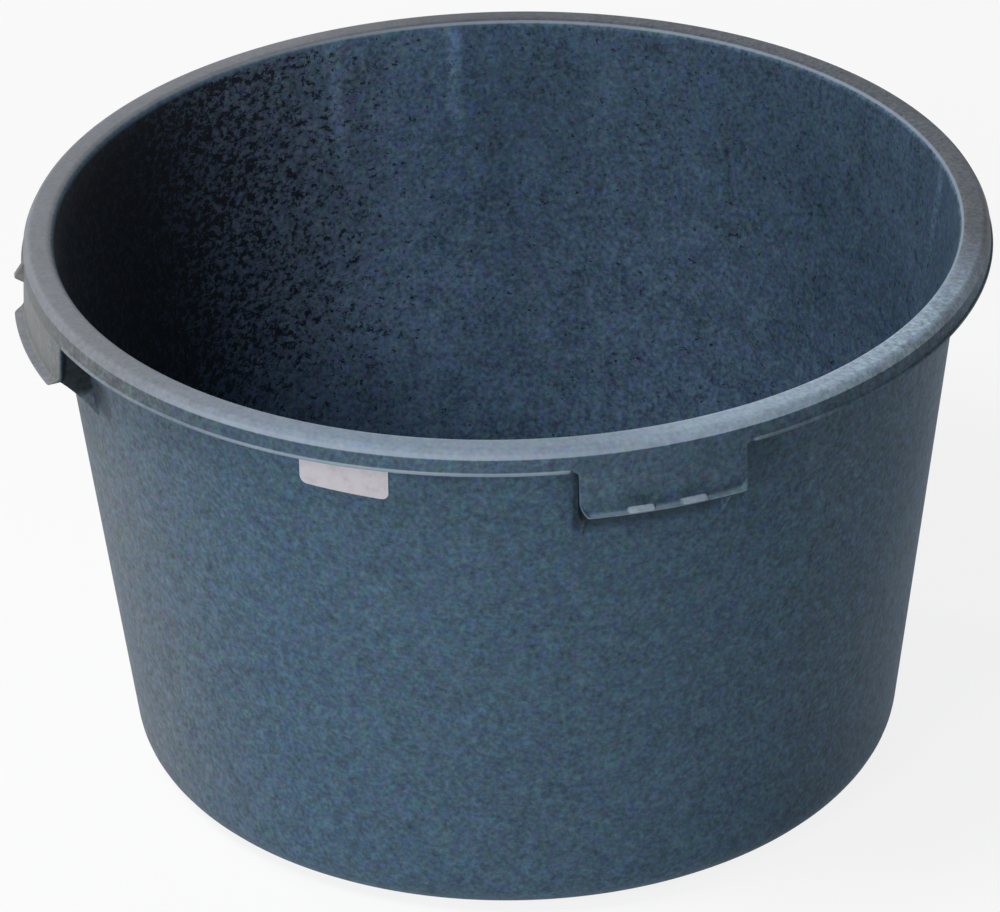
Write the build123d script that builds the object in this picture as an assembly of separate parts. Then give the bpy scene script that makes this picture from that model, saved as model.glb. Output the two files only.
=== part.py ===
from build123d import *

import os
from math import asin, degrees, radians, tan

# Body of the tub, in millimetres. +Z is up and the tub stands on z = 0.
tub_height = 390.0
mouth_radius = 305.6        # inner face of the wall, carried up to the crown of the rim
base_radius = 263.3         # outer face of the wall, carried down to the ground
wall_thickness = 4.0
floor_thickness = 4.5
heel_radius = 30.0          # outer rounding between the floor and the wall
heel_inner_radius = 26.0    # inner rounding between the floor and the wall
panel_radius = 205.0        # raised middle of the floor
panel_rise = 2.5
panel_slope = 6.0           # width of the slope around the raised middle

# Rim: a flat crown, a sloping outer edge, a turned-down skirt and a bead along its bottom.
crown_width = 17.0          # from the inner face of the wall to the end of the flat crown
crown_rounding = 4.5
flange_thickness = 4.0
edge_width = 3.0            # sloping edge, measured outwards
edge_drop = 5.7             # sloping edge, measured downwards
rim_depth = 17.0
skirt_thickness = 3.6
skirt_draft = 3.1           # degrees that the skirt leans outwards
bead_reach = 1.4
bead_height = 2.2

# Hand grips, one on each side: an apron under the skirt, a lip and two gussets.
grip_width = 113.0
left_turn = -92.0           # degrees from the front grip to the left grip
grip_depth = 48.0           # from the crown of the rim to the bottom of the lip
grip_corner = 8.0
grip_flare = 4.0            # widening where the apron runs into the skirt
lip_reach = 6.2
lip_height = 1.3
pad_spacing = 17.0          # between the two pads on the lip of the front grip
pad_length = 19.0
pad_height = 3.2
pad_setback = 0.8           # pad behind the outer edge of the lip
gusset_inset = 4.3          # middle of a gusset from the side of the apron
gusset_thickness = 3.0
gusset_depth = 73.0         # from the crown of the rim to the foot of a gusset
lug_depth = 9.0             # lug at the back of the left grip, from the crown of the rim to its top
lug_drop = 11.0             # from its top to its nose
lug_height = 15.0
lug_reach = 6.8
lug_thickness = 6.0
lug_nose = 1.5              # rounding of its nose

# Label on the outside of the wall.
label_angle = -37.9         # degrees from the front grip, negative towards the left grip
label_width = 60.5
label_height = 37.0
label_depth = 49.5          # from the crown of the rim to the bottom edge of the label
label_corner = 5.0
label_tilt = -2.9
label_thickness = 0.3
label_glue = 0.25           # glue between the wall and the label

# Values that follow from the sizes above.
flange_under = tub_height - flange_thickness
skirt_bottom = tub_height - rim_depth
grip_bottom = tub_height - grip_depth
floor_radius = base_radius - heel_radius
heel_top = heel_radius
crown_radius = mouth_radius + crown_width
skirt_radius = crown_radius + edge_width
mouth_rounding = 0.95 * flange_thickness
bead_nose = 0.45 * bead_height
half_grip = grip_width / 2
beyond = 2 * mouth_radius


def wall_outer(height):
    """Radius of the outer face of the wall at a height above the ground."""
    return base_radius + (mouth_radius + wall_thickness - base_radius) * height / tub_height


def wall_inner(height):
    """Radius of the inner face of the wall at a height above the ground."""
    return wall_outer(height) - wall_thickness


def skirt_face(height):
    """Radius of the outer face of the skirt and of the aprons at a height above the ground."""
    return skirt_radius + (tub_height - edge_drop - height) * tan(radians(skirt_draft))


def outline(*corners):
    """Closed face from corners, each given as two coordinates and a rounding."""
    points = [corner[:2] for corner in corners]
    return make_face(FilletPolyline(*points, radius=[corner[2] for corner in corners], close=True))


def spun(*corners):
    """Ring or disc about the axis of the tub, from corners of radius, height and rounding."""
    return revolve(Plane.XZ * outline(*corners), Axis.Z)


def pushed(face):
    """Block from a face seen from the front, running from the axis out through the front wall."""
    return extrude(Plane.XZ * face, amount=beyond)


def on_each_side(shape):
    """Copies of a shape at the front, left, back and right of the tub, by name."""
    turns = {"front": 0, "left": left_turn, "back": 180, "right": 90}
    return {side: Rot(0, 0, turn) * shape for side, turn in turns.items()}


# Floor, heel and wall are one skin, divided where the rounding of the heel begins and ends.
skin = spun(
    (0, panel_rise, 0),
    (panel_radius, panel_rise, 0),
    (panel_radius + panel_slope, 0, 0),
    (base_radius, 0, heel_radius),
    (wall_outer(flange_under), flange_under, 0),
    (wall_inner(flange_under), flange_under, 0),
    (wall_inner(floor_thickness), floor_thickness, heel_inner_radius),
    (panel_radius + panel_slope, floor_thickness, 0),
    (panel_radius, floor_thickness + panel_rise, 0),
    (0, floor_thickness + panel_rise, 0),
)
middle = extrude(Circle(floor_radius), amount=heel_top)
bottom = extrude(Circle(beyond), amount=heel_top)
floor = skin & middle
heel = (skin & bottom) - middle
wall = skin - bottom

# Flange and skirt are one hook-shaped ring, divided level with the underside of the flange.
hook = spun(
    (wall_inner(flange_under), flange_under, 0),
    (mouth_radius, tub_height, mouth_rounding),
    (crown_radius, tub_height, crown_rounding),
    (skirt_radius, tub_height - edge_drop, 0),
    (skirt_face(skirt_bottom), skirt_bottom, 0),
    (skirt_face(skirt_bottom) - skirt_thickness, skirt_bottom, 0),
    (skirt_face(flange_under) - skirt_thickness, flange_under, 0),
)
below_flange = extrude(Circle(beyond), amount=flange_under)
rim_flange = hook - below_flange
rim_skirt = hook & below_flange

# The bead runs along the bottom of the skirt and stops at each grip.
bead_radius = skirt_face(skirt_bottom) + bead_reach
bead_top = skirt_bottom + bead_height
bead = spun(
    (skirt_face(bead_top) - skirt_thickness / 2, bead_top, 0),
    (bead_radius, bead_top, bead_nose),
    (bead_radius, skirt_bottom, bead_nose),
    (skirt_face(skirt_bottom) - skirt_thickness / 2, skirt_bottom, 0),
)
grip_front_zone = pushed(Pos(0, tub_height / 2) * Rectangle(grip_width, 2 * tub_height))
for zone in on_each_side(grip_front_zone).values():
    bead -= zone
rim_skirt += bead

# Apron: the skirt carried down between two flared sides and two rounded corners.
apron_ring = spun(
    (skirt_face(skirt_bottom) - skirt_thickness, skirt_bottom, 0),
    (skirt_face(skirt_bottom), skirt_bottom, 0),
    (skirt_face(grip_bottom), grip_bottom, 0),
    (skirt_face(grip_bottom) - skirt_thickness, grip_bottom, 0),
)
apron_shape = outline(
    (-half_grip - grip_flare, skirt_bottom, 0),
    (-half_grip, skirt_bottom - grip_flare, 2 * grip_flare),
    (-half_grip, grip_bottom, grip_corner),
    (half_grip, grip_bottom, grip_corner),
    (half_grip, skirt_bottom - grip_flare, 2 * grip_flare),
    (half_grip + grip_flare, skirt_bottom, 0),
)
apron = apron_ring & pushed(apron_shape)

# Lip: follows the bottom of the apron and thins out as it climbs the rounded corners.
lip_radius = skirt_face(grip_bottom) + lip_reach
apron_foot = outline(
    (-half_grip, skirt_bottom, 0),
    (-half_grip, grip_bottom, grip_corner),
    (half_grip, grip_bottom, grip_corner),
    (half_grip, skirt_bottom, 0),
)
lip_top = grip_bottom + grip_corner
lip_shape = apron_foot - Pos(0, lip_height) * apron_foot
lip_shape -= Pos(0, lip_top + tub_height / 2) * Rectangle(2 * grip_width, tub_height)

lip_root = skirt_face(grip_bottom) - skirt_thickness / 2
lip_ring = spun(
    (lip_root, grip_bottom, 0),
    (lip_radius, grip_bottom, 0),
    (lip_radius, skirt_bottom, 0),
    (lip_root, skirt_bottom, 0),
)
lip = lip_ring & pushed(lip_shape)

# Pads: two wedges on the lip of the front grip, either side of its middle.
pad_middle = (pad_spacing + pad_length) / 2
pad_floor = grip_bottom + lip_height
pad_ring = spun(
    (lip_root, pad_floor, 0),
    (lip_radius - pad_setback, pad_floor, 0),
    (skirt_face(pad_floor) + pad_setback, pad_floor + pad_height, 0),
    (lip_root, pad_floor + pad_height, 0),
)
pad_shape = Pos(0, grip_bottom) * Rectangle(pad_length, grip_depth)
pads = pad_ring & pushed(Pos(-pad_middle, 0) * pad_shape)
pads += pad_ring & pushed(Pos(pad_middle, 0) * pad_shape)

# Gussets: two upright plates that tie the apron to the wall, with a hollow lower edge.
gusset_foot = tub_height - gusset_depth
gusset_tip = pad_floor
gusset_bite = 0.75 * skirt_thickness
root_radius = wall_inner(gusset_foot)
foot_point = (wall_outer(gusset_foot), gusset_foot)
tip_point = (skirt_face(gusset_tip) - gusset_bite, gusset_tip)
gusset_sides = Polyline(
    tip_point,
    (skirt_face(flange_under) - gusset_bite, flange_under),
    (root_radius, flange_under),
    (root_radius, gusset_foot),
    foot_point,
)
wall_rise = (wall_outer(tub_height) - wall_outer(0), tub_height)
gusset_face = make_face(gusset_sides + TangentArc(foot_point, tip_point, tangent=wall_rise))
facing_front = Plane(origin=(0, 0, 0), x_dir=(0, -1, 0), z_dir=(-1, 0, 0))
plate = extrude(facing_front * gusset_face, amount=gusset_thickness / 2, both=True)
gusset_turn = degrees(asin((half_grip - gusset_inset) / skirt_face(skirt_bottom)))
gussets = Rot(0, 0, -gusset_turn) * plate + Rot(0, 0, gusset_turn) * plate

# Lug: a small wedge on the outside of the skirt, where the back end of the left grip begins.
lug_top = tub_height - lug_depth
lug_tip = lug_top - lug_drop
lug_bottom = lug_top - lug_height
lug_face = outline(
    (skirt_face(lug_top) - skirt_thickness / 2, lug_top, 0),
    (skirt_face(lug_top), lug_top, 0),
    (skirt_face(lug_tip) + lug_reach, lug_tip, lug_nose),
    (skirt_face(lug_bottom), lug_bottom, 0),
    (skirt_face(lug_bottom) - skirt_thickness / 2, lug_bottom, 0),
)
lug_turn = left_turn - degrees(asin((half_grip - lug_thickness / 2) / skirt_face(lug_tip)))
lug = Rot(0, 0, lug_turn) * extrude(facing_front * lug_face, amount=lug_thickness / 2, both=True)
below_skirt = extrude(Circle(beyond), amount=skirt_bottom)
rim_skirt += lug - below_skirt

inside = spun((0, 0, 0), (wall_outer(0), 0, 0), (wall_outer(tub_height), tub_height, 0), (0, tub_height, 0))
grip = apron + lip + gussets - inside - rim_flange - rim_skirt

# Label: a thin sheet with rounded corners, glued to the outer face of the wall.
label_face = label_glue + label_thickness
label_sheet = spun(
    (wall_outer(heel_top) + label_glue, heel_top, 0),
    (wall_outer(heel_top) + label_face, heel_top, 0),
    (wall_outer(flange_under) + label_face, flange_under, 0),
    (wall_outer(flange_under) + label_glue, flange_under, 0),
)
label_middle = tub_height - label_depth + label_height / 2
label_shape = Rot(0, 0, label_tilt) * RectangleRounded(label_width, label_height, label_corner)
label = Rot(0, 0, label_angle) * (label_sheet & pushed(Pos(0, label_middle) * label_shape))

os.makedirs("parts", exist_ok=True)
nodes = {
    "floor": floor,
    "heel": heel,
    "wall": wall,
    "rim_flange": rim_flange,
    "rim_skirt": rim_skirt,
    "label": label,
}
for side, copy in on_each_side(grip).items():
    nodes["grip_" + side] = copy
nodes["grip_front"] += pads
nodes["grip_left"] += lug & below_skirt
for name, shape in nodes.items():
    export_step(shape, "parts/" + name + ".step")
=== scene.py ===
"""Round mixing tub of moulded polyethylene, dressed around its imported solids."""

import logging
import math
from dataclasses import dataclass
from enum import Enum
from typing import Any, Iterable, Mapping, Optional, Sequence, Union

import bmesh
import bpy
from mathutils import Matrix, Vector


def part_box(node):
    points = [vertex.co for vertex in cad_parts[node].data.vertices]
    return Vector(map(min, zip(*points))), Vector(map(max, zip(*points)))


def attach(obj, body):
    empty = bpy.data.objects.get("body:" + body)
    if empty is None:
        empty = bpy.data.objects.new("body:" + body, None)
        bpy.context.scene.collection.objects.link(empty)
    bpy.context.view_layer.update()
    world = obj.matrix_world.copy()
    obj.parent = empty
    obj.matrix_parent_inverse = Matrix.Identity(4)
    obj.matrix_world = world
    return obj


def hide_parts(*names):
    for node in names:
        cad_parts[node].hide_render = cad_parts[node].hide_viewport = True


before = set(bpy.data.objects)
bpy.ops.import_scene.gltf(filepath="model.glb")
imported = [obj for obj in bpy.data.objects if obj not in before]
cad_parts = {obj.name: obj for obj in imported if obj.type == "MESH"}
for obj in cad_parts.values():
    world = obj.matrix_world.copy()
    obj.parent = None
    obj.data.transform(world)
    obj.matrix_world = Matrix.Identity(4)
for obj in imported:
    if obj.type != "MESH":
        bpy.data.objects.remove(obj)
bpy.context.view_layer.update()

LOG = logging.getLogger("tub")
MM = 0.001
UP = Vector((0.0, 0.0, 1.0))
Number = Union[int, float]


class Side(Enum):
    """Sides of the tub that carry a hand grip, with the turn of each from the front in degrees."""

    FRONT = 0.0
    RIGHT = 90.0
    BACK = 180.0
    LEFT = 268.0

    @property
    def turn(self) -> float:
        """Turn of the side from the front, in radians."""
        return math.radians(self.value)

    def turn_from(self, other: "Side") -> float:
        """Turn from another side round to this one, in radians."""
        return (self.turn - other.turn) % (2 * math.pi)

    @property
    def node(self) -> str:
        """Name of the solid that stands on this side."""
        return f"grip_{self.name.lower()}"


class Slot(Enum):
    """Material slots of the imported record."""

    BODY = "body"
    LABEL = "label"


def around(radius: float, turn: float, height: float) -> Vector:
    """Places a point about the axis of the tub.

    Args:
        radius: Distance from the axis.
        turn: Turn from the front towards the right, in radians.
        height: Height above the ground.

    Returns:
        The point in the frame of the solids.
    """
    return Vector((radius * math.sin(turn), -radius * math.cos(turn), height))


def ease(value: float) -> float:
    """Smooth step from 0 to 1, held flat outside."""
    held = min(max(value, 0.0), 1.0)
    return held * held * (3.0 - 2.0 * held)


def spread(start: float, end: float, steps: int) -> list[float]:
    """Evenly spaced values from start up to, but not at, end."""
    return [start + (end - start) * index / steps for index in range(steps)]


@dataclass(frozen=True)
class Corner:
    """Corner of a section: its distance from the axis, its height and its rounding."""

    radius: float
    height: float
    rounding: float = 0.0

    @property
    def point(self) -> Vector:
        """The corner as a point of the section."""
        return Vector((self.radius, self.height))


def rounded_corner(before: Corner, corner: Corner, after: Corner, bend: float) -> list[Vector]:
    """Draws the arc that rounds one corner of a section.

    Args:
        before: Corner ahead of it.
        corner: Corner to round.
        after: Corner that follows it.
        bend: Largest turn between two points of the arc, in radians.

    Returns:
        Points of the arc, or the corner alone where it has no rounding.
    """
    if corner.rounding == 0.0:
        return [corner.point]
    back = (before.point - corner.point).normalized()
    ahead = (after.point - corner.point).normalized()
    turn = math.pi - back.angle(ahead)
    centre = corner.point + (back + ahead).normalized() * corner.rounding / math.cos(turn / 2)
    first = corner.point + back * corner.rounding * math.tan(turn / 2) - centre
    handed = math.copysign(1.0, back.cross(ahead))
    steps = max(2, math.ceil(turn / bend))
    return [centre + Matrix.Rotation(-handed * turn * step / steps, 2) @ first for step in range(steps + 1)]


def section(corners: Sequence[Corner], run: float = 12 * MM, bend: float = math.radians(9)) -> list[Vector]:
    """Draws an open section through rounded corners.

    Args:
        corners: Corners in order, the first and the last without rounding.
        run: Longest straight step.
        bend: Largest turn between two points of an arc, in radians.

    Returns:
        Points of distance from the axis and height.
    """
    drawn = [corners[0].point]
    for before, corner, after in zip(corners, corners[1:], corners[2:]):
        drawn += rounded_corner(before, corner, after, bend)
    drawn.append(corners[-1].point)
    points = [drawn[0]]
    for start, end in zip(drawn, drawn[1:]):
        steps = max(1, math.ceil((end - start).length / run))
        points += [start.lerp(end, step / steps) for step in range(1, steps + 1)]
    return points


class Skin:
    """Points and faces of one piece, laid row by row."""

    WELD = 0.002 * MM
    SHARP = math.radians(38)

    def __init__(self) -> None:
        """Starts an empty skin."""
        self.mesh = bmesh.new()

    def lay(self, rows: Sequence[Sequence[Vector]], ring: bool = False, tube: bool = False, ends: bool = False) -> None:
        """Lays a net of faces over rows of points.

        Args:
            rows: Rows with the same number of points.
            ring: Whether the last row joins the first.
            tube: Whether the last point of a row joins its first.
            ends: Whether the first and last row are filled.
        """
        net = [[self.mesh.verts.new(point) for point in row] for row in rows]
        across = len(net[0])
        for index in range(len(net) if ring else len(net) - 1):
            low, high = net[index], net[(index + 1) % len(net)]
            for step in range(across if tube else across - 1):
                following = (step + 1) % across
                self.mesh.faces.new((low[step], low[following], high[following], high[step]))
        if ends:
            self.mesh.faces.new(net[0])
            self.mesh.faces.new(net[-1])

    def piece(self, name: str, finish: "Finish", nodes: Iterable[str]) -> bpy.types.Object:
        """Turns the skin into a piece that rides with the tub.

        Args:
            name: Name of the piece.
            finish: Finish that it is dressed with.
            nodes: Solids that it stands for.

        Returns:
            The new object.
        """
        bmesh.ops.remove_doubles(self.mesh, verts=self.mesh.verts, dist=self.WELD)
        bmesh.ops.recalc_face_normals(self.mesh, faces=self.mesh.faces)
        data = bpy.data.meshes.new(name)
        self.mesh.to_mesh(data)
        self.mesh.free()
        data.shade_smooth()
        data.set_sharp_from_angle(angle=self.SHARP)
        data.materials.append(finish.material())
        made = bpy.data.objects.new(name, data)
        bpy.context.scene.collection.objects.link(made)
        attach(made, "root")
        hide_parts(*nodes)
        LOG.info("%s: %d faces", name, len(data.polygons))
        return made


class Signal:
    """Value that runs through the nodes of a finish, with Python arithmetic."""

    def __init__(self, sheet: "NodeSheet", socket: bpy.types.NodeSocket) -> None:
        """Keeps the sheet of nodes and the socket that gives the value."""
        self.sheet = sheet
        self.socket = socket

    def _math(self, operation: str, *values: Union["Signal", Number]) -> "Signal":
        """Adds one Math node and returns its value."""
        return self.sheet.node("ShaderNodeMath", {"operation": operation}, dict(enumerate(values)))

    def __add__(self, other: Union["Signal", Number]) -> "Signal":
        """Sum of two values."""
        return self._math("ADD", self, other)

    def __radd__(self, other: Number) -> "Signal":
        """Sum of a number and a value."""
        return self._math("ADD", other, self)

    def __sub__(self, other: Union["Signal", Number]) -> "Signal":
        """Difference of two values."""
        return self._math("SUBTRACT", self, other)

    def __rsub__(self, other: Number) -> "Signal":
        """A number less a value."""
        return self._math("SUBTRACT", other, self)

    def __mul__(self, other: Union["Signal", Number]) -> "Signal":
        """Product of two values."""
        return self._math("MULTIPLY", self, other)

    def __rmul__(self, other: Number) -> "Signal":
        """Product of a number and a value."""
        return self._math("MULTIPLY", other, self)

    def __truediv__(self, other: Union["Signal", Number]) -> "Signal":
        """Quotient of two values."""
        return self._math("DIVIDE", self, other)

    def __pow__(self, other: Number) -> "Signal":
        """A value raised to a number."""
        return self._math("POWER", self, other)

    def __abs__(self) -> "Signal":
        """Size of a value without its sign."""
        return self._math("ABSOLUTE", self)

    def turn_from(self, other: "Signal") -> "Signal":
        """Angle of the direction whose sine side is this value and whose cosine side is the other."""
        return self._math("ARCTAN2", self, other)

    def positive(self) -> "Signal":
        """The value, or 0 where it is less."""
        return self._math("MAXIMUM", self, 0.0)

    def wrapped(self, low: float, high: float) -> "Signal":
        """The value carried round into a range."""
        return self._math("WRAP", self, high, low)

    def fade(self, start: float, end: float) -> "Signal":
        """Smooth step between two values.

        Args:
            start: Value at which the step is 0.
            end: Value at which it is 1, which may be the smaller.

        Returns:
            The step.
        """
        low, high = min(start, end), max(start, end)
        rise = self.sheet.node(
            "ShaderNodeMapRange",
            {"interpolation_type": "SMOOTHSTEP"},
            {"Value": self, "From Min": low, "From Max": high},
        )
        return rise if start < end else 1 - rise

    def near(self, middle: float, core: float, reach: float) -> "Signal":
        """Share that is 1 within a core about a middle and 0 beyond a reach."""
        return abs(self - middle).fade(reach, core)


class NodeSheet:
    """Nodes of one finish and the calls that add to them."""

    def __init__(self, tree: bpy.types.NodeTree) -> None:
        """Clears a node tree and keeps it."""
        self.tree = tree
        tree.nodes.clear()

    def node(
        self,
        kind: str,
        settings: Optional[Mapping[str, Any]] = None,
        sockets: Optional[Mapping[Any, Any]] = None,
        output: Union[int, str] = 0,
    ) -> Signal:
        """Adds one node.

        Args:
            kind: Type of the node.
            settings: Properties that are set first.
            sockets: Values or signals by socket name or index.
            output: Output that is returned.

        Returns:
            The output as a signal.
        """
        made = self.tree.nodes.new(kind)
        for name, value in (settings or {}).items():
            setattr(made, name, value)
        for name, value in (sockets or {}).items():
            if isinstance(value, Signal):
                self.tree.links.new(value.socket, made.inputs[name])
            else:
                made.inputs[name].default_value = value
        return Signal(self, made.outputs[output]) if len(made.outputs) else Signal(self, None)

    def place(self, scale: Sequence[float] = (1.0, 1.0, 1.0)) -> Signal:
        """Place on the piece, stretched along each axis."""
        spot = self.node("ShaderNodeTexCoord", output="Object")
        return self.node("ShaderNodeVectorMath", {"operation": "MULTIPLY"}, {0: spot, 1: tuple(scale)})

    def noise(
        self, spot: Signal, size: float, detail: float = 2.0, rough: float = 0.5, output: Union[int, str] = 0
    ) -> Signal:
        """Cloudy value between 0 and 1.

        Args:
            spot: Place that it is read at.
            size: Width of a cloud, in metres.
            detail: Number of finer layers.
            rough: Strength of the finer layers.
            output: Output that is returned: one value, or a colour of three.

        Returns:
            The value.
        """
        return self.node(
            "ShaderNodeTexNoise",
            {"noise_dimensions": "3D"},
            {"Vector": spot, "Scale": 1.0 / size, "Detail": detail, "Roughness": rough},
            output,
        )

    def blend(self, share: Union[Signal, Number], first: Any, second: Any, kind: str = "MIX") -> Signal:
        """Mixes two colours.

        Args:
            share: Share of the second colour.
            first: First colour, as a signal or three numbers.
            second: Second colour, as a signal or three numbers.
            kind: How the colours are mixed.

        Returns:
            The mixed colour.
        """
        mixed = [value if isinstance(value, Signal) else (*value, 1.0) for value in (first, second)]
        settings = {"data_type": "RGBA", "blend_type": kind, "clamp_result": False}
        factor, colours, result = 0, (6, 7), 2
        return self.node("ShaderNodeMix", settings, {factor: share, **dict(zip(colours, mixed))}, result)

    def scaled(self, colour: Signal, share: Signal) -> Signal:
        """A colour made paler or darker by a share."""
        return self.node("ShaderNodeVectorMath", {"operation": "SCALE"}, {0: colour, "Scale": share})

    def tint(self, clouds: Signal, strength: float) -> Signal:
        """Makes a cast about white.

        Args:
            clouds: Clouds of colour.
            strength: How far the cast departs from white.

        Returns:
            The cast.
        """
        offset = (1 - strength / 2,) * 3
        return self.node(
            "ShaderNodeVectorMath", {"operation": "MULTIPLY_ADD"}, {0: clouds, 1: (strength,) * 3, 2: offset}
        )

    def finish(self, shader: Signal) -> None:
        """Joins a shader to the output of the material."""
        self.node("ShaderNodeOutputMaterial", sockets={"Surface": shader})


Colour = tuple[float, float, float]


@dataclass(frozen=True)
class TubShape:
    """Sizes of the moulding that its pieces share, in metres, and the draft of its skirt in radians."""

    height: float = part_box("rim_flange")[1][2]
    lip_radius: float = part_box("grip_right")[1][0]
    mouth_radius: float = 305.6 * MM
    base_radius: float = 263.3 * MM
    wall: float = 4.0 * MM
    floor: float = 4.5 * MM
    heel_rounding: float = 30.0 * MM
    heel_inner_rounding: float = 26.0 * MM
    panel_radius: float = 205.0 * MM
    panel_rise: float = 2.5 * MM
    panel_slope: float = 6.0 * MM
    flange: float = 4.0 * MM
    crown_width: float = 17.0 * MM
    edge_width: float = 3.0 * MM
    edge_drop: float = 5.7 * MM
    rim_depth: float = 17.0 * MM
    skirt: float = 3.6 * MM
    skirt_draft: float = math.radians(3.1)
    grip_width: float = 113.0 * MM
    skirt_lap: float = 1.6 * MM
    grip_depth: float = 48.0 * MM
    lip_depth: float = 1.3 * MM
    pad_middle: float = 18.0 * MM
    pad_length: float = 19.0 * MM

    @property
    def crease(self) -> float:
        """Height at which the sloping edge of the rim meets the skirt."""
        return self.height - self.edge_drop

    @property
    def flange_under(self) -> float:
        """Height of the underside of the flange."""
        return self.height - self.flange

    @property
    def skirt_radius(self) -> float:
        """Radius of the skirt where the sloping edge of the rim ends."""
        return self.mouth_radius + self.crown_width + self.edge_width

    @property
    def skirt_top(self) -> float:
        """Height at which the skirt takes over from the rounded edge of the rim."""
        return self.crease - self.skirt_lap

    @property
    def skirt_bottom(self) -> float:
        """Height of the bottom of the skirt."""
        return self.height - self.rim_depth

    @property
    def grip_bottom(self) -> float:
        """Height of the bottom of the lip of a grip."""
        return self.height - self.grip_depth

    @property
    def taper(self) -> float:
        """Widening of the wall for each metre of height."""
        return (self.mouth_radius + self.wall - self.base_radius) / self.height

    def wall_outer(self, height: float) -> float:
        """Radius of the outer face of the wall at a height."""
        return self.base_radius + self.taper * height

    def wall_inner(self, height: float) -> float:
        """Radius of the inner face of the wall at a height."""
        return self.wall_outer(height) - self.wall

    def skirt_face(self, height: float) -> float:
        """Radius of the outer face of the skirt and the aprons at a height."""
        return self.skirt_radius + (self.crease - height) * math.tan(self.skirt_draft)


class Finish:
    """Look of a surface, made once and shared by the pieces that wear it."""

    name: str = "finish"

    def material(self) -> bpy.types.Material:
        """Gives the material, which is made at the first call.

        Returns:
            The material.
        """
        known = bpy.data.materials.get(self.name)
        if known is not None:
            return known
        made = bpy.data.materials.new(self.name)
        made.use_nodes = True
        self.paint(NodeSheet(made.node_tree))
        return made

    def paint(self, sheet: NodeSheet) -> None:
        """Adds the nodes of the finish to a sheet."""
        raise NotImplementedError


class TubMap:
    """Where a spot of the surface lies on the tub, as signals on the sheet of a finish.

    Attributes:
        place: The spot itself.
        across: Its place to the right of the axis.
        deep: Its place behind the axis.
        height: Its height above the ground.
        radius: Its distance from the axis.
        proud: How far it stands out from the face of the skirt and the aprons.
        skirt: Share that is 1 on the outer faces of the skirt and the grips and 0 behind them.
        upper: Share that is 1 on the upper part of the wall and 0 on the floor.
        inner: Share that is 1 on the inner faces of the floor and the wall and 0 outside.
        crown: Share that is 1 on the flat top and the sloping edge of the rim and 0 below them.
        lip: Share that is 1 on the top of the lips of the grips and 0 elsewhere.
    """

    def __init__(self, sheet: NodeSheet, shape: TubShape) -> None:
        """Adds the signals to a sheet.

        Args:
            sheet: Sheet of nodes of the material.
            shape: Sizes of the moulding.
        """
        self.sheet, self.shape = sheet, shape
        self.place = sheet.place()
        sides = sheet.node("ShaderNodeSeparateXYZ", sockets={0: self.place}).socket.node.outputs
        self.across, self.deep, self.height = (Signal(sheet, side) for side in sides)
        self.radius = (self.across**2 + self.deep**2) ** 0.5
        self.proud = self.radius - shape.skirt_radius - (shape.crease - self.height) * math.tan(shape.skirt_draft)
        self.skirt = self.proud.fade(-1.2 * MM, -0.4 * MM)
        self.upper = self.height.fade(60 * MM, 190 * MM)
        self.inner = self.inner_share()
        mouth = shape.mouth_radius
        self.crown = self.height.fade(shape.crease - 0.6 * MM, shape.crease + 0.2 * MM)
        self.crown = self.crown * self.radius.fade(mouth + 0.6 * MM, mouth + 2 * MM)
        lip_level = self.height.near(shape.grip_bottom + 1.4 * MM, 0.3 * MM, 0.5 * MM)
        self.lip = self.proud.fade(0.6 * MM, 1.6 * MM) * lip_level

    def inner_share(self) -> Signal:
        """Finds the inner faces, with the rounding of the heel.

        Returns:
            Share that is 1 on them and 0 outside.
        """
        size, rounding = self.shape, self.shape.heel_rounding
        middle = size.base_radius - size.wall / 2 + size.taper * self.height
        out, down = self.radius - (size.base_radius - rounding), rounding - self.height
        heel = (out.positive() ** 2 + down.positive() ** 2) ** 0.5
        heel = heel.fade(rounding - 1.5 * MM, rounding - 2.5 * MM)
        skin = (middle - self.radius).fade(-0.5 * MM, 0.5 * MM) * self.height.fade(3.0 * MM, 4.2 * MM)
        skin = skin * (1 - down.fade(0.0, 1 * MM) * (1 - heel))
        return skin * self.height.fade(size.height - 2.5 * MM, size.height - 6 * MM)

    def facing(self, turn: float) -> Signal:
        """Value that is 1 on the side of the tub at a turn from the front and -1 opposite."""
        return (self.across * math.sin(turn) - self.deep * math.cos(turn)) / self.radius

    def along_pads(self, soft: float) -> Signal:
        """Share that is 1 along the two pads of the front grip and fades out at their ends."""
        half = self.shape.pad_length / 2
        return abs(self.across).near(self.shape.pad_middle, half - soft, half) * self.deep.fade(0.0, -0.1)


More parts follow.
